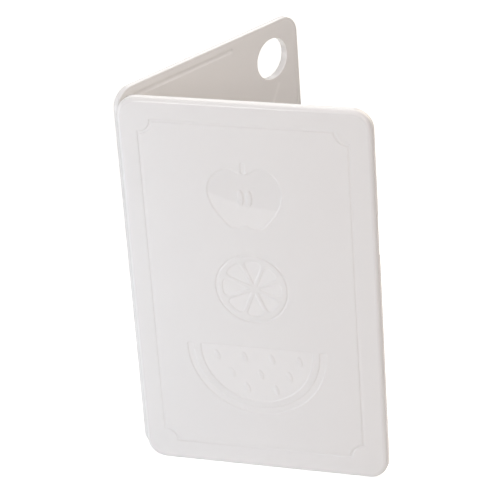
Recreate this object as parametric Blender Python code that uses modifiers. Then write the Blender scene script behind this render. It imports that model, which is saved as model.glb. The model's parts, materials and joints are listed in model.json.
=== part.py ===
"""Folding cutting board: two moulded leaves joined along one long edge by a film hinge.

The board stands on its short edges, half open. Metres, +Z up. The front leaf faces -Y and holds the
sunk frame and fruit figures. The rear leaf turns about the fold line and has the hanging hole.

Each leaf is drawn in its own flat coordinates: u runs from the fold line to the free edge, w from the
fold line's plane into the leaf (inner face first, outer face last) and z up.
"""
import math

import bmesh
import bpy
from mathutils import Matrix, Vector

MM = 0.001

# Leaves
BOARD_HEIGHT = 300.0 * MM
LEAF_WIDTH = 190.0 * MM
LEAF_THICKNESS = 6.4 * MM
CORNER_RADIUS = 15.0 * MM
OUTER_EDGE_RADIUS = 3.0 * MM
INNER_EDGE_RADIUS = 0.4 * MM
CORNER_STEPS = 8
OUTER_EDGE_STEPS = 4
INNER_EDGE_STEPS = 1

# Fold
REST_FOLD_ANGLE = math.radians(63.0)
FOLD_END_CLEARANCE = 0.9 * MM      # end wall to fold line, half the gap when the board lies open
FOLD_FACE_CLEARANCE = 0.2 * MM     # inner face to fold plane, half the gap when the board is closed
FILM_THICKNESS = 0.45 * MM
FILM_END_GAP = 0.3 * MM            # film to leaf, the gap that touching pieces keep
FILM_STEPS = 8

# Hanging hole in the rear leaf
HOLE_RADIUS = 16.5 * MM
HOLE_INSET = 28.3 * MM             # centre to the free edge and to the top edge
HOLE_RIM_RADIUS = 0.6 * MM
HOLE_SIDES = 48

# Juice groove in the inner faces
GROOVE_INSET = 8.0 * MM            # edge of the leaf to the groove's centre line
GROOVE_WIDTH = 4.0 * MM
GROOVE_DEPTH = 1.1 * MM
GROOVE_BEND_RADIUS = 9.0 * MM
GROOVE_HOLE_MARGIN = 27.2 * MM     # the rear groove's ends to the hanging hole, across the leaf
GROOVE_BAR_RESOLUTION = 4

# Finger recess in the inner half of each free edge
RECESS_LENGTH = 30.6 * MM
RECESS_DROP = 98.5 * MM            # top edge to the recess's middle
RECESS_WIDTH = 4.4 * MM
RECESS_DEPTH = 1.4 * MM

# Sunk frame on the outer faces
FRAME_FOLD_MARGIN = 16.2 * MM      # edges of the leaf to the middle of the frame's line
FRAME_FREE_MARGIN = 17.6 * MM
FRAME_BOTTOM_MARGIN = 17.3 * MM
FRAME_TOP_MARGIN = 16.85 * MM
FRAME_LINE_WIDTH = 2.0 * MM
FRAME_CORNER_RADIUS = 9.8 * MM
FRAME_HOLE_MARGIN = 6.5 * MM       # rim of the hanging hole to the frame's bend round it
RELIEF_DEPTH = 0.4 * MM

# Sunk figures on the front leaf
FIGURES_SHIFT = 0.7 * MM           # frame's middle line to the figures', towards the fold

# Apple half
APPLE_RISE = 75.8 * MM             # frame's middle up to the apple's
APPLE_HALF_WIDTH = 28.6 * MM
APPLE_HALF_HEIGHT = 24.0 * MM
APPLE_LEAN = 0.05
APPLE_SHAPE = (                    # right half, from the dip down to the notch, in half widths and heights
    (0.00, 0.78), (0.18, 0.85), (0.38, 0.97), (0.59, 0.94), (0.80, 0.79), (0.94, 0.54), (1.00, 0.25),
    (0.96, -0.10), (0.84, -0.42), (0.65, -0.71), (0.47, -0.95), (0.35, -1.00), (0.13, -0.985), (0.04, -0.91),
)
STEM_WIDTH = 4.4 * MM
STEM_LENGTH = 9.4 * MM
STEM_GAP = 0.5 * MM                # between the apple's dip and the stem
APPLE_SEED_SPACING = 6.6 * MM
APPLE_SEED_SIZE = (4.4 * MM, 12.0 * MM)

# Citrus slice
CITRUS_RISE = 2.7 * MM             # frame's middle up to the slice's
CITRUS_RADIUS = 27.3 * MM
CITRUS_LINE_WIDTH = 1.4 * MM
CITRUS_SEGMENTS = 8
CITRUS_FLESH_RADIUS = 23.2 * MM
CITRUS_RIB_WIDTH = 2.6 * MM
CITRUS_HUB_SHIFT = 1.8 * MM

# Watermelon slice
MELON_DROP = 49.3 * MM             # frame's middle down to the centre of the slice's arcs
MELON_TOP_RISE = 2.8 * MM          # centre of the arcs up to the slice's straight edge
MELON_RIND_RADIUS = 53.6 * MM
MELON_RIND_INNER_RADIUS = 48.5 * MM
MELON_FLESH_RADIUS = 43.2 * MM
MELON_SEED_SIZE = (3.4 * MM, 8.0 * MM)
MELON_SEED_DROPS = (8.9 * MM, 22.7 * MM, 34.9 * MM)      # straight edge down to each row of seeds
MELON_SEED_SPACINGS = (21.2 * MM, 22.4 * MM, 22.4 * MM)  # from seed to seed in each row
MELON_SEED_COUNTS = (4, 3, 2)

# Fineness of the curved outlines
ARC_STEPS = 40
SPAN_STEPS = 3
OVAL_SIDES = 24
RING_SIDES = 60
RIM_STEPS = 3

# Modelling allowances
CUT_OVERSHOOT = 1.0 * MM           # how far a cutter stands out of the surface it cuts
WELD_DISTANCE = 0.001 * MM
SAME_PLACE = 0.01 * MM             # vertices closer than this to a plane lie on it
SMOOTH_ANGLE = math.radians(35.0)

# Colours and finishes
SHELL_COLOUR = (0.86, 0.86, 0.855, 1.0)
SHELL_ROUGHNESS = 0.38
FILM_COLOUR = (0.88, 0.88, 0.87, 1.0)
FILM_ROUGHNESS = 0.3


def free_edge_u():
    """Distance from the fold line to the leaves' free edges."""
    return FOLD_END_CLEARANCE + LEAF_WIDTH


def outer_face_w():
    """Distance from the fold plane to the leaves' outer faces."""
    return FOLD_FACE_CLEARANCE + LEAF_THICKNESS


def frame_sides():
    """Left, bottom, right and top of the frame's line, in u and z."""
    left = FOLD_END_CLEARANCE + FRAME_FOLD_MARGIN
    right = free_edge_u() - FRAME_FREE_MARGIN
    return left, FRAME_BOTTOM_MARGIN, right, BOARD_HEIGHT - FRAME_TOP_MARGIN


def figures_middle():
    """The point that the figures are placed from: the frame's middle, shifted a little to the fold."""
    left, bottom, right, top = frame_sides()
    return (left + right) / 2 - FIGURES_SHIFT, (bottom + top) / 2


def hole_centre():
    """Centre of the hanging hole, in u and z."""
    return free_edge_u() - HOLE_INSET, BOARD_HEIGHT - HOLE_INSET


def fold_line_position():
    """Place of the fold line that puts the standing board's box over the origin."""
    cos_a = math.cos(REST_FOLD_ANGLE)
    sin_a = math.sin(REST_FOLD_ANGLE)
    near_u = FOLD_END_CLEARANCE + OUTER_EDGE_RADIUS
    far_u = free_edge_u() - OUTER_EDGE_RADIUS
    edge_w = outer_face_w() - OUTER_EDGE_RADIUS
    lowest_x = near_u * cos_a - edge_w * sin_a - OUTER_EDGE_RADIUS
    highest_x = free_edge_u()
    lowest_y = -outer_face_w()
    highest_y = far_u * sin_a + edge_w * cos_a + OUTER_EDGE_RADIUS
    return Vector((-(lowest_x + highest_x) / 2, -(lowest_y + highest_y) / 2, 0.0))


def clear_scene():
    """Removes every object, so that the script starts from nothing."""
    for old in list(bpy.data.objects):
        bpy.data.objects.remove(old, do_unlink=True)


def new_collection(name):
    """Makes a collection under the scene's own."""
    collection = bpy.data.collections.new(name)
    bpy.context.scene.collection.children.link(collection)
    return collection


def plastic(name, colour, roughness):
    """Plain moulded plastic."""
    material = bpy.data.materials.new(name)
    material.use_nodes = True
    shader = material.node_tree.nodes["Principled BSDF"]
    shader.inputs["Base Color"].default_value = colour
    shader.inputs["Roughness"].default_value = roughness
    shader.inputs["Metallic"].default_value = 0.0
    return material


def leaf_matrix(side):
    """World matrix of a leaf's u, w, z coordinates: side -1 is the front leaf, +1 the rear one."""
    place = Matrix.Translation(fold_line_position())
    if side < 0:
        return place
    return place @ Matrix.Rotation(REST_FOLD_ANGLE, 4, "Z")


def link_object(name, mesh, collection, matrix):
    """Puts a mesh in the scene as a named object."""
    obj = bpy.data.objects.new(name, mesh)
    collection.objects.link(obj)
    obj.matrix_world = matrix
    return obj


def rounded_plate(name, side):
    """A leaf's blank: a box with round corners, a wide outer edge rounding and a small inner one."""
    low_w = FOLD_FACE_CLEARANCE
    high_w = outer_face_w()
    bm = bmesh.new()
    size = Matrix.Diagonal((LEAF_WIDTH, LEAF_THICKNESS, BOARD_HEIGHT, 1.0))
    centre_u = FOLD_END_CLEARANCE + LEAF_WIDTH / 2
    centre = Vector((centre_u, side * (low_w + high_w) / 2, BOARD_HEIGHT / 2))
    bmesh.ops.create_cube(bm, size=1.0, matrix=Matrix.Translation(centre) @ size)

    def along_w(edge):
        first, second = (vert.co for vert in edge.verts)
        return abs(first.x - second.x) < SAME_PLACE and abs(first.z - second.z) < SAME_PLACE

    bmesh.ops.bevel(
        bm, geom=[edge for edge in bm.edges if along_w(edge)], offset=CORNER_RADIUS,
        segments=CORNER_STEPS, profile=0.5, affect="EDGES")

    def on_face(edge, w):
        return all(abs(vert.co.y - side * w) < SAME_PLACE for vert in edge.verts)

    def at_fold(edge):
        return all(vert.co.x < FOLD_END_CLEARANCE + SAME_PLACE for vert in edge.verts)

    bmesh.ops.bevel(
        bm, geom=[edge for edge in bm.edges if on_face(edge, high_w)], offset=OUTER_EDGE_RADIUS,
        segments=OUTER_EDGE_STEPS, profile=0.5, affect="EDGES")
    inner = [edge for edge in bm.edges if on_face(edge, low_w) and not at_fold(edge)]
    bmesh.ops.bevel(
        bm, geom=inner, offset=INNER_EDGE_RADIUS,
        segments=INNER_EDGE_STEPS, profile=0.5, affect="EDGES")
    bmesh.ops.recalc_face_normals(bm, faces=bm.faces)
    mesh = bpy.data.meshes.new(name)
    bm.to_mesh(mesh)
    bm.free()
    return mesh


def arc_points(centre, radius, start, end, steps):
    """Points on an arc about a (u, z) centre, angles in degrees from +u towards +z."""
    points = []
    for step in range(steps + 1):
        angle = math.radians(start + (end - start) * step / steps)
        points.append((centre[0] + radius * math.cos(angle), centre[1] + radius * math.sin(angle)))
    return points


def flat_cutter(name, outlines, depth, side, collection):
    """A cutter that sinks flat (u, z) outlines into a leaf's outer face. Nested outlines are holes."""
    curve = bpy.data.curves.new(name, "CURVE")
    curve.dimensions = "2D"
    curve.fill_mode = "BOTH"
    curve.extrude = depth
    for outline in outlines:
        spline = curve.splines.new("POLY")
        spline.points.add(len(outline) - 1)
        for point, (u, z) in zip(spline.points, outline):
            point.co = (u, z, 0.0, 1.0)
        spline.use_cyclic_u = True
    stand_up = Matrix.Rotation(math.pi / 2, 4, "X")
    face = Matrix.Translation((0.0, side * outer_face_w(), 0.0))
    return curve_to_cutter(name, curve, leaf_matrix(side) @ face @ stand_up, collection)


def curve_to_cutter(name, curve, matrix, collection):
    """Turns a curve into a closed mesh cutter with its caps welded on."""
    holder = bpy.data.objects.new(name + "_curve", curve)
    collection.objects.link(holder)
    holder.matrix_world = matrix
    bpy.context.view_layer.update()
    graph = bpy.context.evaluated_depsgraph_get()
    mesh = bpy.data.meshes.new_from_object(holder.evaluated_get(graph))
    bm = bmesh.new()
    bm.from_mesh(mesh)
    bmesh.ops.remove_doubles(bm, verts=bm.verts, dist=WELD_DISTANCE)
    bmesh.ops.recalc_face_normals(bm, faces=bm.faces)
    bm.to_mesh(mesh)
    bm.free()
    bpy.data.objects.remove(holder, do_unlink=True)
    return as_cutter(link_object(name, mesh, collection, matrix))


def as_cutter(obj):
    """Marks an object as a cutter that isn't part of the board."""
    obj.hide_render = True
    obj.display_type = "WIRE"
    return obj


def cut(target, cutter):
    """Takes the cutter's shape out of the target."""
    modifier = target.modifiers.new(cutter.name, "BOOLEAN")
    modifier.operation = "DIFFERENCE"
    modifier.solver = "EXACT"
    modifier.object = cutter


def frame_outline(offset, corner_radii):
    """The frame's outline moved outwards by offset: a rectangle with round bites at its corners.

    The bites are centred on the rectangle's corners. corner_radii holds their radii, counter-clockwise
    from the lower corner at the fold.
    """
    left, bottom, right, top = frame_sides()
    corners = ((left, bottom), (right, bottom), (right, top), (left, top))
    outline = []
    for number, (centre, radius) in enumerate(zip(corners, corner_radii)):
        reach = radius - offset
        slip = math.degrees(math.asin(offset / reach))
        start = 90.0 * number + 90.0 + slip
        end = 90.0 * number - slip
        outline += arc_points(centre, reach, start, end, CORNER_STEPS)
    return outline


def frame_cutter(name, side, corner_radii, collection):
    """The sunk line of the frame, between its outer and inner outlines."""
    half = FRAME_LINE_WIDTH / 2
    outlines = [frame_outline(half, corner_radii), frame_outline(-half, corner_radii)]
    return flat_cutter(name, outlines, RELIEF_DEPTH, side, collection)


def circle_points(centre, radius, count):
    """A full circle of count points, the last one short of the first."""
    return arc_points(centre, radius, 0.0, 360.0 * (count - 1) / count, count - 1)


def oval(centre, size):
    """An upright oval, as (u, z) points."""
    unit = circle_points((0.0, 0.0), 1.0, OVAL_SIDES)
    return [(centre[0] + x * size[0] / 2, centre[1] + z * size[1] / 2) for x, z in unit]


def smooth_loop(corners, steps):
    """A closed Catmull-Rom curve through the corners, with steps points from each to the next."""
    outline = []
    count = len(corners)
    for number in range(count):
        before, start, end, after = (Vector(corners[(number + k) % count]) for k in (-1, 0, 1, 2))
        for step in range(steps):
            t = step / steps
            point = start + (end - before) * t / 2
            point += (before * 2 - start * 5 + end * 4 - after) * t ** 2 / 2
            point += (start * 3 - before - end * 3 + after) * t ** 3 / 2
            outline.append(tuple(point))
    return outline


def apple_outline(centre):
    """Half an apple: two round shoulders with a dip between them and two small lobes underneath.

    The right shoulder stands a little higher, which APPLE_LEAN gives as a slope.
    """
    right = list(APPLE_SHAPE)
    left = [(-across, up) for across, up in reversed(APPLE_SHAPE[1:])]
    corners = []
    for across, up in right + left:
        lift = APPLE_LEAN * across * max(up, 0.0) * APPLE_HALF_WIDTH
        corners.append((centre[0] + across * APPLE_HALF_WIDTH, centre[1] + up * APPLE_HALF_HEIGHT + lift))
    return smooth_loop(corners, SPAN_STEPS)


def stem_outline(centre):
    """A short stalk with a round top, standing over the apple's dip."""
    half = STEM_WIDTH / 2
    low = centre[1] + APPLE_SHAPE[0][1] * APPLE_HALF_HEIGHT + STEM_GAP
    high = low + STEM_LENGTH - half
    foot = [(centre[0] - half, low), (centre[0] + half, low)]
    return foot + arc_points((centre[0], high), half, 0.0, 180.0, CORNER_STEPS)


def citrus_segment(centre, number):
    """One pocket of the citrus slice, between two ribs that meet at the hub.

    Its sides run parallel to the ribs' middle lines, half a rib away, and its outer end is an arc about
    the slice's centre.
    """
    hub = Vector((centre[0] + CITRUS_HUB_SHIFT, centre[1]))
    step = 2 * math.pi / CITRUS_SEGMENTS
    middle = step * number
    tip = hub + Vector((math.cos(middle), math.sin(middle))) * (CITRUS_RIB_WIDTH / 2 / math.sin(step / 2))
    ends = []
    for turn in (-step / 2, step / 2):
        direction = Vector((math.cos(middle + turn), math.sin(middle + turn)))
        offset = tip - Vector(centre)
        along = offset.dot(direction)
        reach = -along + math.sqrt(along ** 2 - offset.length_squared + CITRUS_FLESH_RADIUS ** 2)
        ends.append(tip + direction * reach)
    angles = [math.degrees(math.atan2(end.y - centre[1], end.x - centre[0])) for end in ends]
    if angles[1] < angles[0]:
        angles[1] += 360.0
    return [tuple(tip)] + arc_points(centre, CITRUS_FLESH_RADIUS, angles[0], angles[1], CORNER_STEPS)


def melon_band(centre, outer, inner):
    """The part of a ring below the slice's straight top edge, or of a disc where inner is 0."""
    high = math.degrees(math.asin(MELON_TOP_RISE / outer))
    outline = arc_points(centre, outer, 180.0 - high, 360.0 + high, ARC_STEPS)
    if inner > 0:
        high = math.degrees(math.asin(MELON_TOP_RISE / inner))
        outline += arc_points(centre, inner, 360.0 + high, 180.0 - high, ARC_STEPS)
    return outline


def melon_seeds(centre):
    """Places of the watermelon's seeds, row by row, about the centre of its arcs."""
    places = []
    for drop, spacing, count in zip(MELON_SEED_DROPS, MELON_SEED_SPACINGS, MELON_SEED_COUNTS):
        height = centre[1] + MELON_TOP_RISE - drop
        for number in range(count):
            places.append((centre[0] + (number - (count - 1) / 2) * spacing, height))
    return places


def cut_figures(leaf, side, collection):
    """Sinks the apple, the citrus slice and the watermelon slice into the outer face."""
    middle_u, middle_z = figures_middle()
    apple = (middle_u, middle_z + APPLE_RISE)
    half = APPLE_SEED_SPACING / 2
    seeds = [oval((apple[0] + shift, apple[1]), APPLE_SEED_SIZE) for shift in (-half, half)]
    cut(leaf, flat_cutter("cut_apple", [apple_outline(apple)] + seeds, RELIEF_DEPTH, side, collection))
    cut(leaf, flat_cutter("cut_stem", [stem_outline(apple)], RELIEF_DEPTH, side, collection))

    citrus = (middle_u, middle_z + CITRUS_RISE)
    half = CITRUS_LINE_WIDTH / 2
    ring = [circle_points(citrus, CITRUS_RADIUS + shift, RING_SIDES) for shift in (half, -half)]
    segments = [citrus_segment(citrus, number) for number in range(CITRUS_SEGMENTS)]
    cut(leaf, flat_cutter("cut_citrus", ring + segments, RELIEF_DEPTH, side, collection))

    melon = (middle_u, middle_z - MELON_DROP)
    rind = melon_band(melon, MELON_RIND_RADIUS, MELON_RIND_INNER_RADIUS)
    flesh = melon_band(melon, MELON_FLESH_RADIUS, 0.0)
    seeds = [oval(place, MELON_SEED_SIZE) for place in melon_seeds(melon)]
    cut(leaf, flat_cutter("cut_melon", [rind, flesh] + seeds, RELIEF_DEPTH, side, collection))


def groove_path(end_u):
    """Centre line of the juice groove as (u, z) points.

    It is a closed loop, or where end_u is given a C that ends there and is open to the free edge.
    """
    low_u = FOLD_END_CLEARANCE + GROOVE_INSET
    high_u = free_edge_u() - GROOVE_INSET
    low_z = GROOVE_INSET
    high_z = BOARD_HEIGHT - GROOVE_INSET
    bend = GROOVE_BEND_RADIUS
    fold_top = arc_points((low_u + bend, high_z - bend), bend, 90.0, 180.0, CORNER_STEPS)
    fold_bottom = arc_points((low_u + bend, low_z + bend), bend, 180.0, 270.0, CORNER_STEPS)
    if end_u is not None:
        return [(end_u, high_z)] + fold_top + fold_bottom + [(end_u, low_z)]
    free_bottom = arc_points((high_u - bend, low_z + bend), bend, 270.0, 360.0, CORNER_STEPS)
    free_top = arc_points((high_u - bend, high_z - bend), bend, 0.0, 90.0, CORNER_STEPS)
    return fold_top + fold_bottom + free_bottom + free_top


def groove_cutter(name, side, end_u, collection):
    """A round bar along the groove's centre line, deep enough in the inner face to leave its width.

    A circle that cuts a face to the groove's width and depth has the radius
    (half width squared + depth squared) / (2 depth).
    """
    half = GROOVE_WIDTH / 2
    radius = (half ** 2 + GROOVE_DEPTH ** 2) / (2 * GROOVE_DEPTH)
    curve = bpy.data.curves.new(name, "CURVE")
    curve.dimensions = "3D"
    curve.bevel_depth = radius
    curve.bevel_resolution = GROOVE_BAR_RESOLUTION
    curve.use_fill_caps = True
    path = groove_path(end_u)
    spline = curve.splines.new("POLY")
    spline.points.add(len(path) - 1)
    for point, (u, z) in zip(spline.points, path):
        point.co = (u, 0.0, z, 1.0)
    spline.use_cyclic_u = end_u is None
    lift = Matrix.Translation((0.0, side * (FOLD_FACE_CLEARANCE + GROOVE_DEPTH - radius), 0.0))
    return curve_to_cutter(name, curve, leaf_matrix(side) @ lift, collection)


def recess_cutter(name, side, collection):
    """A block that lowers the inner half of the free edge, where a finger opens the board."""
    bm = bmesh.new()
    width = RECESS_WIDTH + CUT_OVERSHOOT
    depth = RECESS_DEPTH + CUT_OVERSHOOT
    centre = Vector((
        free_edge_u() - RECESS_WIDTH + width / 2,
        side * (FOLD_FACE_CLEARANCE + RECESS_DEPTH - depth / 2),
        BOARD_HEIGHT - RECESS_DROP))
    size = Matrix.Diagonal((width, depth, RECESS_LENGTH, 1.0))
    bmesh.ops.create_cube(bm, size=1.0, matrix=Matrix.Translation(centre) @ size)
    bmesh.ops.recalc_face_normals(bm, faces=bm.faces)
    mesh = bpy.data.meshes.new(name)
    bm.to_mesh(mesh)
    bm.free()
    return as_cutter(link_object(name, mesh, collection, leaf_matrix(side)))


def hole_cutter(name, side, collection):
    """The hanging hole: a turned profile whose rims flare by a quarter circle into each face."""
    half = LEAF_THICKNESS / 2
    rim = HOLE_RIM_RADIUS
    wide = HOLE_RADIUS + rim
    quarter = [(wide - x, half - rim + z) for x, z in arc_points((0.0, 0.0), rim, 0.0, 90.0, RIM_STEPS)]
    upper = [(0.0, half + CUT_OVERSHOOT), (wide, half + CUT_OVERSHOOT)] + quarter[::-1]
    profile = upper + [(radius, -height) for radius, height in reversed(upper)]
    mesh = bpy.data.meshes.new(name)
    points = [(radius, 0.0, height) for radius, height in profile]
    mesh.from_pydata(points, [(i, i + 1) for i in range(len(points) - 1)], [])
    lie = Matrix.Rotation(math.pi / 2, 4, "X")
    centre_u, centre_z = hole_centre()
    centre = Matrix.Translation((centre_u, side * (FOLD_FACE_CLEARANCE + half), centre_z))
    cutter = as_cutter(link_object(name, mesh, collection, leaf_matrix(side) @ centre @ lie))
    screw = cutter.modifiers.new("turn", "SCREW")
    screw.axis = "Z"
    screw.steps = HOLE_SIDES
    screw.render_steps = HOLE_SIDES
    screw.use_merge_vertices = True
    screw.merge_threshold = WELD_DISTANCE
    return cutter


def finish_leaf(leaf, material):
    """Gives a leaf its material and smooth rounded edges."""
    leaf.data.materials.append(material)
    leaf.data.shade_smooth()
    leaf.data.set_sharp_from_angle(angle=SMOOTH_ANGLE)


def make_front_panel(parts, cutters, material):
    """The front leaf, with the frame and the figures on its outer face."""
    side = -1
    leaf = link_object("front_panel", rounded_plate("front_panel", side), parts, leaf_matrix(side))
    finish_leaf(leaf, material)
    cut(leaf, frame_cutter("cut_front_frame", side, [FRAME_CORNER_RADIUS] * 4, cutters))
    cut_figures(leaf, side, cutters)
    cut(leaf, groove_cutter("cut_front_groove", side, None, cutters))
    cut(leaf, recess_cutter("cut_front_recess", side, cutters))
    return leaf


def make_rear_panel(parts, cutters, material):
    """The rear leaf, which turns about the fold line and has the hanging hole."""
    side = 1
    leaf = link_object("rear_panel", rounded_plate("rear_panel", side), parts, leaf_matrix(side))
    finish_leaf(leaf, material)
    corner = Vector(frame_sides()[2:])
    hole = Vector(hole_centre())
    round_hole = (corner - hole).length + HOLE_RADIUS + FRAME_HOLE_MARGIN
    radii = [FRAME_CORNER_RADIUS, FRAME_CORNER_RADIUS, round_hole, FRAME_CORNER_RADIUS]
    cut(leaf, frame_cutter("cut_rear_frame", side, radii, cutters))
    cut(leaf, hole_cutter("cut_hanging_hole", side, cutters))
    groove_end_u = hole.x - HOLE_RADIUS - GROOVE_HOLE_MARGIN
    cut(leaf, groove_cutter("cut_rear_groove", side, groove_end_u, cutters))
    cut(leaf, recess_cutter("cut_rear_recess", side, cutters))
    return leaf


def make_hinge_film(parts, material):
    """The film hinge: a thin strip bent to an arc between the two end walls.

    Laid flat it is as long as the gap between the leaves, so the arc's radius is that length over the
    angle it turns. The arc's centre lies on the line that halves the fold's angle.
    """
    length = 2 * FOLD_END_CLEARANCE
    turn = math.pi - REST_FOLD_ANGLE
    radius = length / turn
    centre = Vector((FOLD_END_CLEARANCE, FOLD_END_CLEARANCE * math.tan(REST_FOLD_ANGLE / 2)))
    slip = FILM_END_GAP / radius
    low = CORNER_RADIUS
    high = BOARD_HEIGHT - CORNER_RADIUS
    bm = bmesh.new()
    columns = []
    for step in range(FILM_STEPS + 1):
        share = step / FILM_STEPS
        angle = -math.pi / 2 - slip - (turn - 2 * slip) * share
        x = centre.x + radius * math.cos(angle)
        y = centre.y + radius * math.sin(angle)
        columns.append((bm.verts.new((x, y, low)), bm.verts.new((x, y, high))))
    for first, second in zip(columns, columns[1:]):
        bm.faces.new((first[0], first[1], second[1], second[0]))
    mesh = bpy.data.meshes.new("hinge_film")
    bm.to_mesh(mesh)
    bm.free()
    film = link_object("hinge_film", mesh, parts, Matrix.Translation(fold_line_position()))
    wall = film.modifiers.new("wall", "SOLIDIFY")
    wall.thickness = FILM_THICKNESS
    wall.offset = 0.0
    wall.use_even_offset = True
    film.data.materials.append(material)
    film.data.shade_smooth()
    film.data.set_sharp_from_angle(angle=SMOOTH_ANGLE)
    return film


def main():
    """Builds the whole board."""
    clear_scene()
    parts = new_collection("folding_cutting_board")
    cutters = new_collection("cutters")
    shell = plastic("white_shell", SHELL_COLOUR, SHELL_ROUGHNESS)
    film = plastic("hinge_plastic", FILM_COLOUR, FILM_ROUGHNESS)
    make_front_panel(parts, cutters, shell)
    make_rear_panel(parts, cutters, shell)
    make_hinge_film(parts, film)


main()
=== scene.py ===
"""Folding cutting board: the looks of its two moulded leaves and of the film hinge between them.

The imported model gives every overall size. A leaf is worked out flat, in u from the fold line to the free
edge, w from the fold plane into the leaf and z up, and is then stood where the model has it. The board's
relief, edges, groove and hanging hole are surfaces computed as whole arrays. Lengths are in metres.
"""
import json
import math

import bmesh
import bpy
import numpy as np
from bpy.props import FloatProperty, FloatVectorProperty, PointerProperty
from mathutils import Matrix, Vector
from mathutils.geometry import delaunay_2d_cdt


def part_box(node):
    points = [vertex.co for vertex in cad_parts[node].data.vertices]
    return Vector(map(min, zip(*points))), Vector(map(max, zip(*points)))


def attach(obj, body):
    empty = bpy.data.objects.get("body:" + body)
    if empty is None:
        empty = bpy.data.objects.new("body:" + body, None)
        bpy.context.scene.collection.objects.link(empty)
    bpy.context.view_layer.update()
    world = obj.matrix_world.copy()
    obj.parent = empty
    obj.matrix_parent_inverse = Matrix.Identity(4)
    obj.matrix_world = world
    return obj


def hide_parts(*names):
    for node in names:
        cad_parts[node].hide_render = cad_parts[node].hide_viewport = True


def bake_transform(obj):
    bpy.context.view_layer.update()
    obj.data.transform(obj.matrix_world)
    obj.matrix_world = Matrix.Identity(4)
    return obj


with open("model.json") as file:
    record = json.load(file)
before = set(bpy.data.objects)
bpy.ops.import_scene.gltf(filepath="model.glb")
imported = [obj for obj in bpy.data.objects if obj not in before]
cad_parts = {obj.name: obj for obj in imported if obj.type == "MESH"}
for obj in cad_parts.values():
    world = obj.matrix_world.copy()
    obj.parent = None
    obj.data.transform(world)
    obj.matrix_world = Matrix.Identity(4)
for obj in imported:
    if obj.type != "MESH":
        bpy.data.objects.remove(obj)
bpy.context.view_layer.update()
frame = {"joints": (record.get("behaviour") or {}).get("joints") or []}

bl_info = {
    "name": "Folding Cutting Board",
    "version": (1, 0, 0),
    "blender": (4, 5, 0),
    "location": "View3D > Sidebar > Board",
    "description": "Builds a folding cutting board with sunk fruit figures, and a white stage for it",
    "category": "Object",
}

MM = 0.001
WHITE = (1.0, 1.0, 1.0)

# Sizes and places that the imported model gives
FOLD_JOINT = frame["joints"][0]
FOLD_LINE = Vector(FOLD_JOINT["pos_m"])
REST_ANGLE = -math.radians(FOLD_JOINT["range_deg"][0])
PANEL_LOW, PANEL_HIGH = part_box("front_panel")
FOLD_U = PANEL_LOW.x - FOLD_LINE.x
FREE_U = PANEL_HIGH.x - FOLD_LINE.x
INNER_W = FOLD_LINE.y - PANEL_HIGH.y
OUTER_W = FOLD_LINE.y - PANEL_LOW.y
HEIGHT = PANEL_HIGH.z
FILM_LOW, FILM_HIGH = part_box("hinge_film")

# The film's section, and the two sides on which a leaf can stand
FILM_THICKNESS = 0.45 * MM
FILM_GRIP = 0.25 * MM              # how far the film's ends reach into the leaves
FRONT_SIDE = -1
REAR_SIDE = 1

# Outline of the apple's right half, from the dip down to the notch, in half widths and half heights
APPLE_SHAPE = np.array([
    (0.00, 0.78), (0.18, 0.85), (0.38, 0.97), (0.59, 0.94), (0.80, 0.79), (0.94, 0.54), (1.00, 0.25),
    (0.96, -0.10), (0.84, -0.42), (0.65, -0.71), (0.47, -0.95), (0.35, -1.00), (0.13, -0.985), (0.04, -0.91),
])
MELON_ROWS = (                     # drop from the straight edge, shift, spacing and count of the seeds
    (8.9 * MM, 1.0 * MM, 21.2 * MM, 4),
    (22.7 * MM, 2.2 * MM, 22.4 * MM, 3),
    (34.9 * MM, 2.2 * MM, 22.4 * MM, 2),
)
CITRUS_SEGMENTS = 8
APPLE_PAINTED_LIGHT_WAVES = (1.3 * MM, 2.9 * MM)  # the painted light line's two sine waves, as lengths of one radian

# Finish, with how pale the figures' floors are as shares of the floor paleness; the apple's two are painted
# light
PLASTIC_IOR = 1.49
GRAIN_ROUGHNESS = 0.03             # how far the grain takes the roughness down and up
APPLE_PAINTED_LIGHT_BELOW = 0.8                   # painted reflection, paler below the apple's painted light line
APPLE_PAINTED_SHADE_ABOVE = -0.5            # painted shade, darker above it
CITRUS_PALE = 0.9
MELON_PALE = 0.8
RIND_PALE = 0.5

# Soft transitions
RECESS_SLOPE = 0.25 * MM           # half the length of the slopes at the finger recess's ends
RECESS_LIP = 0.15 * MM             # half the width of the slope along its inner side
FOLD_SIDE_START = 0.7              # share of the outward normal from which an edge belongs to the fold
GROOVE_EASING = 1.5                # power that eases the groove's lips
PAINTED_LIGHT_LINE_BLUR = 1.2 * MM         # half the width of the step across the apple's painted light line
WELD_FADE_IN = 0.08                # shares of the flow line's length in which it comes up and dies out
WELD_FADE_OUT = 0.3

# Fineness
CORNER_STEPS = 12
ROUNDING_STEPS = 8
EASE_STEPS = 4
PARTING_STEPS = 6
SLOPE_POINTS = 5
SPAN_STEPS = 6
LIP_STEPS = 8
HOLE_STEPS = 96
FILM_STEPS = 16
WELD_LONG_STEPS = 24
WELD_CROSS_STEPS = 8
FIGURE_SPACING = 0.4 * MM
FLAT_STRIP = 0.5 * MM              # beside every rim and sunk line, so that the flat faces shade evenly
BORDER_GAP = 0.6 * MM              # groove's lip to the edge band's inner border
MERGE_DISTANCE = 0.0005 * MM

# Angles at which a leaf's corner arcs start, from the lower free corner on and against the clock
CORNER_STARTS = (270.0, 0.0, 90.0, 180.0)

# Stage
FLOOR_REACH = 6.0
FLOOR_DROP = -0.2 * MM             # under the board's foot
FLOOR_ROUGHNESS = 0.9
LAMP_TARGET = (0.0, 0.0, 0.15)
CAMERA_PLACE = (0.5068, -1.5927, 0.9803)
CAMERA_TURN = (63.306, 3.712, 16.698)  # degrees about x, y and z
SENSOR_WIDTH = 36.0
VIEW_END = 20.0


def length(name, description, default):
    """A length that the user can change, given in millimetres."""
    return FloatProperty(
        name=name, description=description, default=default * MM, unit="LENGTH", precision=5)


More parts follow.
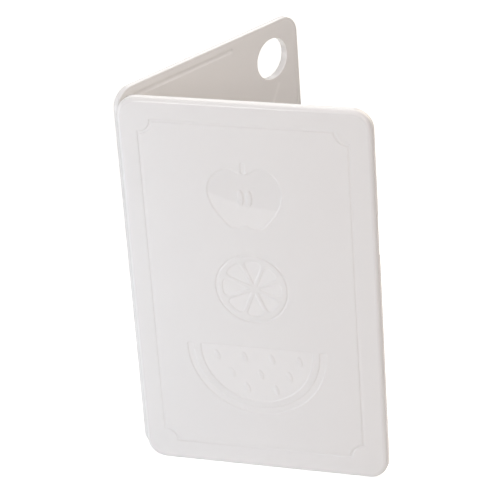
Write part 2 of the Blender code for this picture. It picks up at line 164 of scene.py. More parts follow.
def share(name, description, default):
    """A plain number from 0 up, mostly under 1."""
    return FloatProperty(name=name, description=description, default=default, min=0.0, soft_max=1.0)


def colour(name, description, default):
    """A colour, written as linear light."""
    return FloatVectorProperty(
        name=name, description=description, default=default, subtype="COLOR", size=3, min=0.0, max=1.0)


def angle(name, description, default):
    """An angle, given in degrees."""
    return FloatProperty(name=name, description=description, default=math.radians(default), subtype="ANGLE")


def power(name, description, default):
    """A lamp's power in watts."""
    return FloatProperty(name=name, description=description, default=default, min=0.0, unit="POWER")


class BoardLeafSizes(bpy.types.PropertyGroup):
    """Edges, juice groove, finger recess and hanging hole of the leaves."""
    corner_radius: length("Corner radius", "Round corners of a leaf, seen from its face", 15.0)
    outer_reach: length("Outer rounding reach", "How far the outer rounding comes in from the edge", 3.3)
    outer_fall: length("Outer rounding fall", "How far the outer rounding falls from its face", 1.8)
    free_fall: length("Free edge fall", "How far it falls along the free edge", 2.4)
    edge_easing: length("Edge easing", "Softening of the corner between rounding and edge", 0.25)
    inner_rounding: length("Inner rounding", "Radius between the edge and the cutting face", 0.2)
    fold_rounding: length("Fold rounding", "Radius of the inner edge along the fold", 0.12)
    parting_depth: length("Parting line depth", "Depth of the mould's fine line round the edge", 0.03)
    parting_width: length("Parting line width", "Width of the mould's fine line round the edge", 0.5)
    groove_inset: length("Groove inset", "Edge of the leaf to the middle of the juice groove", 8.0)
    groove_width: length("Groove width", "Width of the juice groove", 4.0)
    groove_depth: length("Groove depth", "Depth of the juice groove", 0.5)
    groove_bend: length("Groove bend", "Bend radius of the groove's middle line", 9.0)
    groove_end_gap: length("Groove end gap", "Rear groove's ends to the hanging hole, across", 27.2)
    recess_length: length("Recess length", "Finger recess along the free edge", 30.6)
    recess_drop: length("Recess drop", "Top edge to the middle of the finger recess", 98.5)
    recess_width: length("Recess width", "Finger recess across the edge", 4.4)
    recess_depth: length("Recess depth", "Depth of the finger recess", 1.4)
    hole_radius: length("Hole radius", "Radius of the hanging hole", 16.1)
    hole_inset: length("Hole inset", "Hole's centre to the free edge", 28.4)
    hole_drop: length("Hole drop", "Top edge down to the hole's centre", 28.9)
    hole_rim: length("Hole rim", "Rounding of the hole's two rims", 0.8)
    weld_width: length("Weld line width", "Width of the faint flow line below the hole", 4.8)
    weld_height: length("Weld line height", "Height of the faint flow line below the hole", 0.05)
    weld_angle: angle("Weld line angle", "Direction of the flow line, from the free side up", -119.5)
    weld_start: angle("Weld line start", "Where on the hole's rim the flow line starts", -73.0)
    weld_length: length("Weld line length", "Length of the faint flow line below the hole", 24.0)
    weld_pale: share("Weld line paleness", "How much lighter the flow line is", 0.07)
    # Painted shade: the parting line's dent is painted darker
    parting_painted_shade: share("Parting line shade", "How much darker the mould's fine line is", 0.02)


class BoardReliefSizes(bpy.types.PropertyGroup):
    """Sunk frame line and the way that every sunk shape goes down."""
    depth: length("Relief depth", "Depth of every sunk line and figure", 0.5)
    wall: length("Relief wall", "Width of the soft slope between two levels", 0.65)
    # Painted shade: the slopes between two levels are painted darker, as shade would fall on them
    wall_painted_shade: share("Wall shade", "How much darker the slopes between two levels are", 0.03)
    polish: share("Relief polish", "How far the sunk floors come towards the polished finish", 0.35)
    # Also sets the strength of the apple floor's painted light
    floor_pale_and_painted_light: share("Floor paleness", "How much lighter the pale floors of the figures are", 0.03)
    seed_rise: share("Seed rise", "How far the seeds come back up, as a share of the depth", 0.8)
    fold_margin: length("Frame fold margin", "Fold edge to the middle of the frame's line", 16.2)
    free_margin: length("Frame free margin", "Free edge to the middle of the frame's line", 17.6)
    bottom_margin: length("Frame bottom margin", "Bottom edge to the middle of the frame's line", 17.3)
    top_margin: length("Frame top margin", "Top edge to the middle of the frame's line", 16.85)
    line_width: length("Frame line width", "Width of the frame's line", 1.9)
    bite_radius: length("Frame corner radius", "Radius of the round bites at the corners", 9.8)
    hole_margin: length("Frame hole margin", "Rim of the hanging hole to the frame's bend", 6.5)


class BoardFigureSizes(bpy.types.PropertyGroup):
    """Apple half, citrus slice and watermelon slice, placed from the frame's middle."""
    shift: length("Figures shift", "Frame's middle line to the figures', towards the fold", 0.7)
    apple_rise: length("Apple rise", "Frame's middle up to the apple's", 75.8)
    apple_shift: length("Apple shift", "Figures' middle line to the apple's, towards the fold", 0.8)
    apple_half_width: length("Apple half width", "Half the apple's width", 28.0)
    apple_half_height: length("Apple half height", "Half the apple's height", 24.0)
    apple_lean: share("Apple lean", "How much higher the right shoulder stands, as a slope", 0.05)
    apple_dish: length("Apple dish", "How much deeper the middle of the apple is", 0.35)
    stem_width: length("Stem width", "Width of the apple's stem", 3.6)
    stem_length: length("Stem length", "Length of the apple's stem", 9.4)
    stem_gap: length("Stem gap", "Apple's dip to the stem", 0.5)
    # Painted light on the apple's floor: paler below a wavy line and darker above it, for the dish's
    # reflection
    apple_painted_light_drop: length("Apple shade drop", "Apple's middle down to where its floor turns pale", 6.5)
    apple_painted_light_steep: share("Apple shade steep", "That line's slope left of the middle", 0.36)
    apple_painted_light_slope: share("Apple shade slope", "That line's slope right of the middle", 0.08)
    apple_painted_light_wave: length("Apple shade wave", "Height of that line's waves", 0.5)
    apple_seed_spacing: length("Apple seed spacing", "Distance of the two seeds", 6.4)
    apple_seed_width: length("Apple seed width", "Width of an apple seed", 4.2)
    apple_seed_length: length("Apple seed length", "Length of an apple seed", 12.0)
    citrus_rise: length("Citrus rise", "Frame's middle up to the citrus slice's", 2.7)
    citrus_radius: length("Citrus radius", "Radius of the peel's sunk line", 27.3)
    citrus_line: length("Citrus line width", "Width of the peel's sunk line", 1.4)
    citrus_flesh: length("Citrus flesh radius", "Outer radius of the sunk pockets", 22.6)
    citrus_rib: length("Citrus rib width", "Width of the ribs between the pockets", 2.6)
    citrus_hub_shift: length("Citrus hub shift", "How far the hub lies to the right of the middle", 1.8)
    citrus_rounding: length("Citrus rounding", "Rounding of the pockets' corners", 4.5)
    melon_drop: length("Melon drop", "Frame's middle down to the centre of the arcs", 49.3)
    melon_top_rise: length("Melon top rise", "Centre of the arcs up to the straight edge", 2.8)
    melon_rind: length("Melon rind radius", "Outer radius of the rind's sunk band", 53.6)
    melon_rind_inner: length("Melon rind inner radius", "Inner radius of the rind's sunk band", 48.5)
    melon_flesh: length("Melon flesh radius", "Radius of the sunk flesh", 43.2)
    melon_rounding: length("Melon rounding", "Rounding of the slice's corners", 1.2)
    melon_seed_width: length("Melon seed width", "Width of a watermelon seed", 3.4)
    melon_seed_length: length("Melon seed length", "Length of a watermelon seed", 8.0)
    melon_seed_lean: share("Melon seed lean", "How far a seed's head leans to the left, as a slope", 0.25)
    margin: length("Figure margin", "Flat border of the fine grid round each figure", 1.6)


class BoardFinish(bpy.types.PropertyGroup):
    """Colours and surface of the plastic."""
    shell_colour: colour("Shell colour", "White plastic of the leaves", (0.845, 0.842, 0.838))
    shell_shade: colour("Shell shade", "Faint second tone of the leaves", (0.839, 0.836, 0.832))
    film_colour: colour("Film colour", "Whitened plastic of the hinge", (0.875, 0.872, 0.868))
    film_shade: colour("Film shade", "Faint second tone of the hinge", (0.86, 0.857, 0.853))
    face_roughness: share("Face roughness", "Roughness of the satin faces", 0.40)
    gloss_roughness: share("Gloss roughness", "Roughness of the polished edges and sunk floors", 0.18)
    film_roughness: share("Film roughness", "Roughness of the flexed film", 0.32)
    grain_size: length("Grain size", "Size of the mould's fine grain", 0.35)
    flow_size: length("Flow size", "Size of the faint cloudy flow", 28.0)
    grain_depth: length("Grain depth", "Depth of the fine grain", 0.004)
    flow_depth: length("Flow depth", "Depth of the faint waves in the faces", 0.008)


class BoardStage(bpy.types.PropertyGroup):
    """Floor, lamps and camera."""
    floor_colour: colour("Floor colour", "White of the floor", (0.92, 0.92, 0.92))
    floor_lift: share("Floor lift", "White that the floor adds near the board, where it is seen", 0.62)
    lift_start: length("Lift start", "Distance at which the added white begins to grow", 700.0)
    lift_end: length("Lift end", "Distance from which the floor adds full white", 1900.0)
    top_power: power("Top power", "Small lamp close over the board", 1.44)
    left_power: power("Left power", "Lamp at the left", 2.1)
    low_power: power("Low power", "Small lamp close to the lower left corner", 0.51)
    low_colour: colour("Low colour", "Colour of the lamp at the lower left", (0.654, 0.825, 1.0))
    side_power: power("Side power", "Low lamp at the left", 2.44)
    front_power: power("Front power", "Wide lamp in front", 2.33)
    glint_power: power("Glint power", "Small low lamp in front that glints in the rounded edges", 5.0)
    right_power: power("Right power", "Lamp in front at the right", 9.8)
    right_colour: colour("Right colour", "Colour of the lamp at the right", (1.0, 0.93, 0.885))
    high_power: power("High power", "Wide lamp high in front", 13.3)
    high_colour: colour("High colour", "Colour of the lamp high in front", (1.0, 0.893, 0.885))
    back_power: power("Back power", "Lamp behind, for the top edges", 2.9)
    warm_power: power("Warm power", "Wide lamp at the back right, for the inner faces", 17.3)
    warm_colour: colour("Warm colour", "Colour of the lamp at the back right", (1.0, 0.84, 0.645))
    lens: FloatProperty(name="Lens", description="Focal length of the camera", default=176.2, unit="CAMERA")


def mix(start, end, t):
    """The value that lies the share t of the way from start to end."""
    return start + (end - start) * t


def arc(centre, radius, start, end, steps):
    """Points on a circle: the centre plus the radius times the cosine and the sine of an angle.

    The angle goes evenly from start to end, in degrees. The radius and the angles may be arrays, which
    then come first in the answer's shape.
    """
    radius = np.asarray(radius, float)[..., None]
    start = np.asarray(start, float)[..., None]
    end = np.asarray(end, float)[..., None]
    turned = np.radians(mix(start, end, np.linspace(0.0, 1.0, steps + 1)))
    return np.stack([centre[0] + radius * np.cos(turned), centre[1] + radius * np.sin(turned)], axis=-1)


def smooth_step(low, high, value):
    """0 below low, 1 above high, and 3 t squared less 2 t cubed between them."""
    t = np.clip((value - low) / (high - low), 0.0, 1.0)
    return t * t * (3.0 - 2.0 * t)


def soft_max(a, b, reach):
    """The larger of a and b, with the corner where they meet rounded over reach.

    Where they differ by less than reach, a quarter of the squared shortfall over reach is added.
    """
    shortfall = np.maximum(reach - np.abs(a - b), 0.0)
    return np.maximum(a, b) + shortfall ** 2 / (4.0 * reach)


def inside(outlines, u, z):
    """Whether points lie inside closed outlines, where nested outlines are holes.

    A ray from the point towards +u crosses the outlines' edges an odd number of times.
    """
    crossings = np.zeros(np.shape(u), int)
    for outline in outlines:
        corner_u, corner_z = outline.T
        step_u, step_z = (np.roll(outline, -1, axis=0) - outline).T
        straddles = (corner_z > z[..., None]) != (corner_z + step_z > z[..., None])
        rise = np.where(step_z == 0.0, 1.0, step_z)
        meets = corner_u + (z[..., None] - corner_z) * step_u / rise
        crossings += (straddles & (u[..., None] < meets)).sum(-1)
    return crossings % 2 == 1


def outline_distance(outline, u, z):
    """Distance of points to a closed outline, negative inside it: the least of those to its edges."""
    point = np.stack([u, z], axis=-1)[..., None, :]
    step = np.roll(outline, -1, axis=0) - outline
    along = ((point - outline) * step).sum(-1) / (step ** 2).sum(-1)
    nearest = outline + np.clip(along, 0.0, 1.0)[..., None] * step
    gap = np.linalg.norm(point - nearest, axis=-1).min(-1)
    return np.where(inside([outline], u, z), -gap, gap)


def oval_distance(centre, half_width, half_length, u, z):
    """About the distance of points to an upright oval, negative inside it.

    With k the length of the offset in half axes and g that in squared half axes, it is k (k - 1) / g, and
    at the oval's middle, where both are 0, it is minus the half width.
    """
    across = u - centre[0]
    up = z - centre[1]
    k = np.hypot(across / half_width, up / half_length)
    g = np.hypot(across / half_width ** 2, up / half_length ** 2)
    return np.where(g > 0.0, k * (k - 1.0) / np.where(g > 0.0, g, 1.0), -half_width)


def smooth_loop(corners, steps):
    """A closed Catmull-Rom curve through the corners.

    Between two corners it is the cubic whose slope at a corner is half the step between its neighbours.
    """
    before = np.roll(corners, 1, axis=0)[:, None]
    start = corners[:, None]
    end = np.roll(corners, -1, axis=0)[:, None]
    after = np.roll(corners, -2, axis=0)[:, None]
    t = np.arange(steps)[None, :, None] / steps
    points = start + (end - before) * t / 2
    points = points + (before * 2 - start * 5 + end * 4 - after) * t ** 2 / 2
    points = points + (start * 3 - before - end * 3 + after) * t ** 3 / 2
    return points.reshape(-1, 2)


def ring_faces(ring_count, point_count):
    """Four-sided faces between neighbouring rings, each of which closes on itself."""
    index = np.arange(ring_count * point_count).reshape(ring_count, point_count)
    turned = np.roll(index, -1, axis=1)
    return np.stack([index[:-1], turned[:-1], turned[1:], index[1:]], axis=-1).reshape(-1, 4)


class Leaf:
    """Points, faces, and the gloss and pale masks of one leaf, gathered patch by patch in u, z and w."""

    def __init__(self):
        self.points = []
        self.faces = []
        self.gloss = []
        self.pale = []
        self.count = 0

    def add(self, points, faces, gloss=0.0, pale=0.0):
        """Adds a patch. gloss and pale are its masks, one number or one for each point.

        pale is how much lighter the plastic is painted, as a share, and is below 0 where it's darker; it
        carries the painted shade on slopes and in the parting line and the apple floor's painted light.
        """
        points = np.asarray(points, float).reshape(-1, 3)
        self.points.append(points)
        self.faces += (np.asarray(faces) + self.count).tolist()
        self.gloss.append(np.broadcast_to(np.ravel(gloss), len(points)))
        self.pale.append(np.broadcast_to(np.ravel(pale), len(points)))
        self.count += len(points)

    def add_rings(self, rings, gloss, pale):
        """Joins closed rings of alike count, given as rings by points by 3, with four-sided faces."""
        self.add(rings, ring_faces(*rings.shape[:2]), gloss, pale)

    def add_grid(self, grid, gloss=0.0, pale=0.0):
        """Joins a grid of rows by columns by 3 with four-sided faces and gives its outline in u and z."""
        rows, columns = grid.shape[:2]
        index = np.arange(rows * columns).reshape(rows, columns)
        faces = np.stack([index[:-1, :-1], index[:-1, 1:], index[1:, 1:], index[1:, :-1]], axis=-1)
        self.add(grid, faces.reshape(-1, 4), gloss, pale)
        border = (grid[0, :-1], grid[:-1, -1], grid[-1, :0:-1], grid[:0:-1, 0])
        return np.concatenate(border)[:, :2]

    def add_flat(self, outlines, w):
        """Fills the plane at w between closed outlines: the first is its border, the others are holes.

        The triangles come from a Delaunay triangulation that keeps the outlines' edges. Those whose
        middle isn't inside by the odd-crossings rule are left out.
        """
        edges = []
        start = 0
        for outline in outlines:
            index = start + np.arange(len(outline))
            edges += np.stack([index, np.roll(index, -1)], axis=-1).tolist()
            start += len(outline)
        corners = [Vector(point) for point in np.concatenate(outlines)]
        points, _, triangles, *_ = delaunay_2d_cdt(corners, edges, [], 1, MERGE_DISTANCE, False)
        points = np.array([tuple(point) for point in points])
        triangles = np.array(triangles)
        middle = points[triangles].mean(axis=1)
        kept = triangles[inside(outlines, middle[:, 0], middle[:, 1])]
        self.add(np.column_stack([points, np.full(len(points), w)]), kept)

    def stand(self, name, side):
        """Makes the mesh object, with the leaf stood at its place: side -1 is the front leaf, +1 the rear.

        The front leaf has x along u and y against w. The rear leaf has u and w turned by the rest angle.
        """
        u, z, w = np.concatenate(self.points).T
        if side == FRONT_SIDE:
            place = np.stack([u, -w, z], axis=-1)
        else:
            cos_a = math.cos(REST_ANGLE)
            sin_a = math.sin(REST_ANGLE)
            place = np.stack([u * cos_a - w * sin_a, u * sin_a + w * cos_a, z], axis=-1)
        place += np.array([FOLD_LINE.x, FOLD_LINE.y, 0.0])
        masks = {"gloss": np.concatenate(self.gloss), "pale": np.concatenate(self.pale)}
        return mesh_object(name, place, self.faces, masks)


def add_object(name, data):
    """A new object in the scene, at the origin."""
    item = bpy.data.objects.new(name, data)
    bpy.context.scene.collection.objects.link(item)
    return item


def mesh_object(name, points, faces, masks):
    """A smooth closed mesh object at the origin, with its doubles merged and its faces pointing out."""
    mesh = bpy.data.meshes.new(name)
    mesh.from_pydata(points, [], faces)
    for mask, values in masks.items():
        attribute = mesh.attributes.new(mask, "FLOAT", "POINT")
        attribute.data.foreach_set("value", np.ascontiguousarray(values, np.float32))
    bm = bmesh.new()
    bm.from_mesh(mesh)
    bmesh.ops.remove_doubles(bm, verts=bm.verts, dist=MERGE_DISTANCE)
    bmesh.ops.recalc_face_normals(bm, faces=bm.faces)
    open_edges = sum(not edge.is_manifold for edge in bm.edges)
    bm.to_mesh(mesh)
    bm.free()
    if open_edges:
        raise RuntimeError(f"{name} isn't closed: {open_edges} of its edges lack two faces")
    mesh.shade_smooth()
    return add_object(name, mesh)


def raise_flat(flat, w):
    """Rows of points drawn in u and z, with w added: one for all, one for each row or one for each point."""
    return np.concatenate([flat, np.broadcast_to(w, flat.shape[:2])[..., None]], axis=-1)


def add_channel(leaf, rings, w, gloss, pale=0.0):
    """Adds rings drawn in u and z, each at its own w and with its own finish."""
    pale = np.broadcast_to(pale, len(rings))
    gloss, pale = (np.repeat(mask, rings.shape[1]) for mask in (gloss, pale))
    leaf.add_rings(raise_flat(rings, w[:, None]), gloss, pale)


def corner_arcs(reach, radius):
    """A rounded rectangle's four corner arcs, whose centres lie reach inside the leaf's edges."""
    low, high = reach, HEIGHT - reach
    left, right = FOLD_U + reach, FREE_U - reach
    centres = ((right, low), (right, high), (left, high), (left, low))
    return [
        arc(centre, radius, start, start + 90.0, CORNER_STEPS)
        for centre, start in zip(centres, CORNER_STARTS)]


def leaf_outline(radius, recess_ends):
    """Points round the leaf's edge, close together at the recess's ends, and their outward normals."""
    near_ends = (recess_ends[:, None] + np.linspace(-RECESS_SLOPE, RECESS_SLOPE, SLOPE_POINTS)).ravel()
    side = np.column_stack([np.full(len(near_ends), FREE_U), near_ends])
    outward = np.tile((1.0, 0.0), (len(side), 1))
    arcs = corner_arcs(radius, radius)
    turns = [arc((0.0, 0.0), 1.0, start, start + 90.0, CORNER_STEPS) for start in CORNER_STARTS]
    return np.concatenate([arcs[0], side] + arcs[1:]), np.concatenate([turns[0], outward] + turns[1:])


def edge_band(leaf, sizes):
    """The leaf's edge: a profile carried round the leaf's outline. Gives the outlines of the flat faces.

    A point is the outline's point less its inset times the outward normal, at its own w. From outside in,
    the profile has a circle's arc, a quadratic curve round the corner where it meets the wall, the flat
    wall with a shallow cosine dent as the parting line, a small quarter circle and a flat strip. The arc's
    radius is (reach squared + fall squared) / (2 fall). Along the finger recess the strip and the small
    circle go down by the recess's depth, with smooth steps at its ends.
    """
    middle = HEIGHT - sizes.recess_drop
    half_recess = sizes.recess_length / 2
    outline, normal = leaf_outline(sizes.corner_radius, middle + np.array([-1.0, 1.0]) * half_recess)
    in_recess = smooth_step(-RECESS_SLOPE, RECESS_SLOPE, half_recess - np.abs(outline[:, 1] - middle))
    drop = sizes.recess_depth * in_recess * (outline[:, 0] > FREE_U - sizes.corner_radius)

    reach = sizes.outer_reach
    fall = mix(sizes.outer_fall, sizes.free_fall, smooth_step(0.0, 1.0, normal[:, 0]))
    bow = (reach ** 2 + fall ** 2) / (2 * fall)
    ease = sizes.edge_easing
    wall_top = OUTER_W - fall
    rows = [(reach + FLAT_STRIP, OUTER_W, 0.0, 0.0)]    # each is an inset, w, gloss and pale
    for turned in np.linspace(0.0, 2 * np.arctan(fall / reach) - ease / bow, ROUNDING_STEPS + 1):
        rows.append((reach - bow * np.sin(turned), OUTER_W - bow * (1 - np.cos(turned)), 1.0, 0.0))
    arc_inset, arc_w = rows[-1][:2]
    for t in np.linspace(0.0, 1.0, EASE_STEPS + 1)[1:]:
        eased_w = arc_w * (1 - t) ** 2 + wall_top * 2 * t * (1 - t) + (wall_top - ease) * t ** 2
        rows.append((arc_inset * (1 - t) ** 2, eased_w, 1.0, 0.0))
    # Painted shade: the parting line's dent is painted darker
    for place in np.linspace(-1.0, 1.0, PARTING_STEPS + 1):
        dent = (1 + math.cos(math.pi * place)) / 2
        dent_w = wall_top - ease - sizes.parting_width * (1 + place / 2)
        rows.append((sizes.parting_depth * dent, dent_w, 1.0, -sizes.parting_painted_shade * dent))

    on_fold = smooth_step(FOLD_SIDE_START, 1.0, -normal[:, 0])
    inner = mix(sizes.inner_rounding, sizes.fold_rounding, on_fold)
    for turned in np.radians(np.linspace(90.0, 0.0, ROUNDING_STEPS // 2 + 1)):
        rounded_w = INNER_W + inner * (1 - math.cos(turned)) + drop
        rows.append((inner * (1 - math.sin(turned)), rounded_w, 1.0, 0.0))
    rows.append((sizes.recess_width - RECESS_LIP, INNER_W + drop, 0.0, 0.0))
    rows.append((sizes.recess_width + RECESS_LIP, INNER_W, 0.0, 0.0))
    rows.append((sizes.groove_inset - sizes.groove_width / 2 - BORDER_GAP, INNER_W, 0.0, 0.0))

    rows = [[np.broadcast_to(value, len(outline)) for value in row] for row in rows]
    inset, w, gloss, pale = np.moveaxis(np.array(rows), 1, 0)
    flat = outline - inset[..., None] * normal
    leaf.add_rings(raise_flat(flat, w), gloss, pale)
    return flat[0], flat[-1]


def sink(distance, relief):
    """Share of the relief's depth at a signed distance to a sunk shape: a smooth step over the wall."""
    return 1.0 - smooth_step(-relief.wall / 2, relief.wall / 2, distance)


def slope_painted_shade(sunk, relief):
    """Painted shade on the slopes: how much darker they are painted, 4 s (1 - s) times the wall's painted
    shade, with s the share of the depth.
    """
    return -relief.wall_painted_shade * 4 * sunk * (1 - sunk)


def frame_sides(relief):
    """Left, bottom, right and top of the frame's line."""
    left = FOLD_U + relief.fold_margin
    right = FREE_U - relief.free_margin
    return left, relief.bottom_margin, right, HEIGHT - relief.top_margin


def frame_rings(offsets, radii, relief):
    """Outlines beside the frame's line, one for each offset outwards.

    The line is a rectangle with round bites centred on its corners. At an offset d a bite's radius is r - d
    and its arc is shortened at both ends by the angle whose sine is d / (r - d), so that it meets the
    sides' parallels.
    """
    left, bottom, right, top = frame_sides(relief)
    corners = ((left, bottom), (right, bottom), (right, top), (left, top))
    rings = []
    for number, (centre, radius) in enumerate(zip(corners, radii)):
        reach = radius - offsets
        slip = np.degrees(np.arcsin(offsets / reach))
        start = 90.0 * number + 90.0 + slip
        rings.append(arc(centre, reach, start, 90.0 * number - slip, 2 * CORNER_STEPS))
    return np.concatenate(rings, axis=1)


def frame_line(leaf, radii, relief):
    """The frame's sunk line: its depth is the relief's sink at the distance from the line's middle."""
    edge = (relief.line_width + relief.wall) / 2
    offsets = np.linspace(edge, -edge, 2 * LIP_STEPS + 1)
    offsets = np.concatenate([[edge + FLAT_STRIP], offsets, [-edge - FLAT_STRIP]])
    sunk = sink(np.abs(offsets) - relief.line_width / 2, relief)
    rings = frame_rings(offsets, radii, relief)
    # The line's slopes get painted shade
    add_channel(leaf, rings, OUTER_W - relief.depth * sunk, relief.polish * sunk, slope_painted_shade(sunk, relief))
    return rings[0], rings[-1]


def figure_grid(leaf, low, high, relief, relief_at):
    """A fine flat grid whose points go down by the depth that relief_at(u, z) gives. Gives its outline.

    relief_at also gives how pale each point is, and the slopes get painted shade. The polish goes with the
    share of the relief's depth.
    """
    columns, rows = (
        np.linspace(start, end, round((end - start) / FIGURE_SPACING) + 1) for start, end in zip(low, high))
    u, z = np.meshgrid(columns, rows)
    depth, pale = relief_at(u, z)
    sunk = np.clip(depth / relief.depth, 0.0, 1.0)
    # Painted shade on the slopes, added to the floors' paleness
    pale = relief.floor_pale_and_painted_light * pale + slope_painted_shade(sunk, relief)
    return leaf.add_grid(np.stack([u, z, OUTER_W - depth], axis=-1), relief.polish * sunk, pale)


def raised_seeds(places, width, height, lean, relief, u, z):
    """Share by which seeds come back up: the largest of the relief's sinks at their ovals' distances.

    A seed leans because the point's u gets the lean times its height over the seed's middle added.
    """
    gaps = [
        oval_distance(place, width / 2, height / 2, u + lean * (z - place[1]), z)
        for place in places]
    return sink(np.min(gaps, axis=0), relief)


def apple_outline(centre, figures):
    """Half an apple: two shoulders with a dip between them and two small lobes underneath.

    The listed half is mirrored, sized, lifted by the lean towards the right, and joined smoothly.
    """
    mirrored = APPLE_SHAPE[:0:-1] * (-1.0, 1.0)
    shape = np.concatenate([APPLE_SHAPE, mirrored])
    across = shape[:, 0] * figures.apple_half_width
    up = shape[:, 1] * figures.apple_half_height
    lift = figures.apple_lean * across * np.maximum(shape[:, 1], 0.0)
    return smooth_loop(np.column_stack([centre[0] + across, centre[1] + up + lift]), SPAN_STEPS)


def apple(leaf, middle, figures, relief):
    """The sunk apple half with its stem and two raised seeds.

    Its floor is dished: it goes down further by the dish times one less the squared distance from the
    middle, in half sizes. Painted light stands in for the dish's reflection: the floor is painted pale below
    a wavy line that falls steeply to the middle and then gently, and darker above it.
    """
    centre = (middle[0] - figures.apple_shift, middle[1] + figures.apple_rise)
    outline = apple_outline(centre, figures)
    foot = centre[1] + APPLE_SHAPE[0, 1] * figures.apple_half_height + figures.stem_gap
    half_stem = figures.stem_width / 2
    stem_top = foot + figures.stem_length
    half_spacing = figures.apple_seed_spacing / 2
    seed_places = [(centre[0] - half_spacing, centre[1]), (centre[0] + half_spacing, centre[1])]

    def relief_at(u, z):
        body = sink(outline_distance(outline, u, z), relief)
        nearest = np.clip(z, foot + half_stem, stem_top - half_stem)
        stem = sink(np.hypot(u - centre[0], z - nearest) - half_stem, relief)
        seeds = raised_seeds(
            seed_places, figures.apple_seed_width, figures.apple_seed_length, 0.0, relief, u, z)
        across, up = u - centre[0], z - centre[1]
        reach = (across / figures.apple_half_width) ** 2 + (up / figures.apple_half_height) ** 2
        dish = figures.apple_dish * np.maximum(1.0 - reach, 0.0)
        floor = body * (1.0 - relief.seed_rise * seeds)
        fall = np.where(across < 0.0, figures.apple_painted_light_steep, figures.apple_painted_light_slope) * across
        wave = figures.apple_painted_light_wave / 2 * sum(np.sin(across / stretch) for stretch in APPLE_PAINTED_LIGHT_WAVES)
        # Painted light: paler below the wavy line and darker above it, for the dish's reflection
        over_line = up + figures.apple_painted_light_drop + fall + wave
        above = smooth_step(-PAINTED_LIGHT_LINE_BLUR, PAINTED_LIGHT_LINE_BLUR, over_line)
        pale = floor * mix(APPLE_PAINTED_LIGHT_BELOW, APPLE_PAINTED_SHADE_ABOVE, above)
        return np.maximum(floor, stem) * relief.depth + floor * dish, pale

    low = outline.min(axis=0) - figures.margin
    high = np.array([outline[:, 0].max(), stem_top]) + figures.margin
    return figure_grid(leaf, low, high, relief, relief_at)


def citrus(leaf, middle, figures, relief):
    """The sunk citrus slice: a thin line for the peel and eight pockets between the ribs.

    About the hub, a point's angle is folded into one pocket's, with x along the pocket's middle and y
    across it. Its distance to the pocket's sides is half a rib less (x sin a - |y| cos a), where a is half
    the angle of a pocket, and its distance to the outer arc is its radius less the flesh's.
    """
    centre = (middle[0], middle[1] + figures.citrus_rise)
    half_angle = math.pi / CITRUS_SEGMENTS

    def relief_at(u, z):
        radius = np.hypot(u - centre[0], z - centre[1])
        peel = sink(np.abs(radius - figures.citrus_radius) - figures.citrus_line / 2, relief)
        across, up = u - centre[0] - figures.citrus_hub_shift, z - centre[1]
        reach = np.hypot(across, up)
        turn = np.mod(np.arctan2(up, across) + half_angle, 2 * half_angle) - half_angle
        along_pocket = reach * np.cos(turn) * math.sin(half_angle)
        across_pocket = reach * np.abs(np.sin(turn)) * math.cos(half_angle)
        to_sides = figures.citrus_rib / 2 - (along_pocket - across_pocket)
        pockets = sink(soft_max(to_sides, radius - figures.citrus_flesh, figures.citrus_rounding), relief)
        return np.maximum(peel, pockets) * relief.depth, CITRUS_PALE * pockets

    reach = figures.citrus_radius + figures.margin
    return figure_grid(leaf, np.array(centre) - reach, np.array(centre) + reach, relief, relief_at)


def melon(leaf, middle, figures, relief):
    """The sunk watermelon slice: a half disc of flesh with raised seeds and a band of rind round it.

    Both lie below the straight edge, so each distance is the larger of the one to its arcs and the one
    to that edge, with a rounded corner.
    """
    centre = (middle[0], middle[1] - figures.melon_drop)
    top = centre[1] + figures.melon_top_rise
    band_middle = (figures.melon_rind + figures.melon_rind_inner) / 2
    band_half = (figures.melon_rind - figures.melon_rind_inner) / 2
    seeds = [
        (centre[0] + shift + (number - (count - 1) / 2) * spacing, top - drop)
        for drop, shift, spacing, count in MELON_ROWS for number in range(count)]

    def relief_at(u, z):
        radius = np.hypot(u - centre[0], z - centre[1])
        flesh = sink(soft_max(radius - figures.melon_flesh, z - top, figures.melon_rounding), relief)
        to_band = np.abs(radius - band_middle) - band_half
        rind = sink(soft_max(to_band, z - top, figures.melon_rounding), relief)
        raised = raised_seeds(seeds, figures.melon_seed_width, figures.melon_seed_length,
                              figures.melon_seed_lean, relief, u, z)
        floor = np.maximum(flesh * (1.0 - relief.seed_rise * raised), rind)
        return floor * relief.depth, MELON_PALE * flesh + RIND_PALE * rind

    low = (centre[0] - figures.melon_rind - figures.margin, centre[1] - figures.melon_rind - figures.margin)
    high = (centre[0] + figures.melon_rind + figures.margin, top + figures.margin)
    return figure_grid(leaf, low, high, relief, relief_at)


def groove_profile(sizes):
    """Distances from the groove's middle line and the depths there.

    The floor is a circle's arc whose radius is (half width squared + depth squared) / (2 depth), and its
    lips are eased by raising the depth's share to a power. A flat strip comes first.
    """
    half = sizes.groove_width / 2
    radius = (half ** 2 + sizes.groove_depth ** 2) / (2 * sizes.groove_depth)
    distance = half * np.linspace(1.0, 0.0, LIP_STEPS + 1)
    depth = np.sqrt(radius ** 2 - distance ** 2) - (radius - sizes.groove_depth)
    eased = sizes.groove_depth * (np.maximum(depth, 0.0) / sizes.groove_depth) ** GROOVE_EASING
    return np.append(half + FLAT_STRIP, distance), np.append(0.0, eased)


def groove_loop(leaf, sizes):
    """The closed juice groove: its profile on both sides of a rounded rectangle. Gives its two outlines."""
    distance, depth = groove_profile(sizes)
    offsets = np.concatenate([distance, -distance[-2::-1]])
    depths = np.concatenate([depth, depth[-2::-1]])
    bend = sizes.groove_bend
    rings = np.concatenate(corner_arcs(sizes.groove_inset + bend, bend + offsets), axis=1)
    add_channel(leaf, rings, INNER_W + depths, depths / depths.max() / 2)
    return rings[0], rings[-1]


